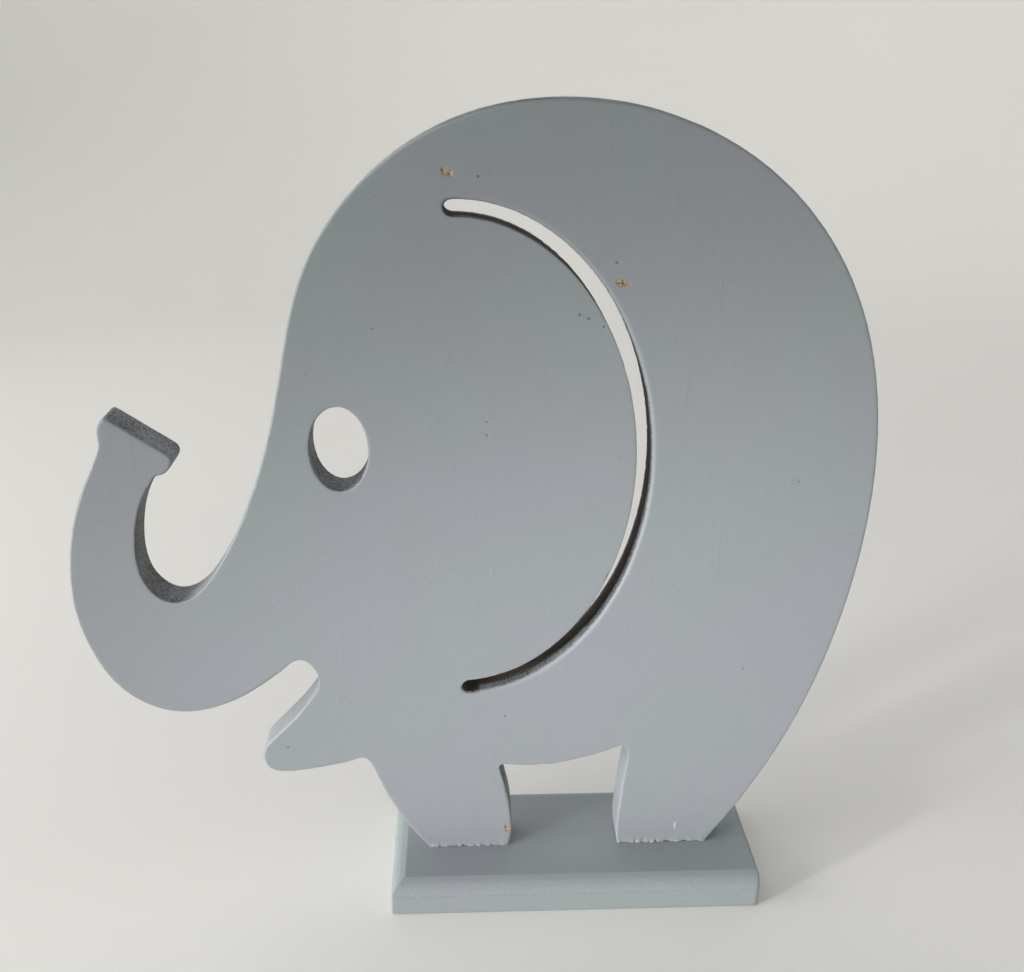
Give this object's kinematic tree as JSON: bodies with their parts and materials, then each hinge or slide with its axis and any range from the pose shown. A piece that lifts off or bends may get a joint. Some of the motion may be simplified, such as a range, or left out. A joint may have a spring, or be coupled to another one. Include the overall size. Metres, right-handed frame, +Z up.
{
  "type": "standing elephant silhouette",
  "caption": "Flat elephant silhouette of painted fibreboard with a raised trunk, an oval eye hole and a curved ear slot, standing on a low plinth with rounded edges.",
  "frame": {"origin": "centre of the plinth's underside", "axes": "+Z up; the trunk points to -X and the rump to +X; the flat front face looks to -Y"},
  "size_m": [0.3189, 0.065, 0.332],
  "materials": {
    "grey_paint": "blue-grey water-based satin paint on fibreboard, rougher on the cut edges",
    "plinth_paint": "the same paint, with the routed edge slightly furry",
    "zinc_plate": "bright zinc plate"
  },
  "bodies": {
    "root": {"elephant_panel": "grey_paint", "plinth": "plinth_paint", "front_leg_screw": "zinc_plate", "hind_leg_screw": "zinc_plate"}
  },
  "joints": []
}
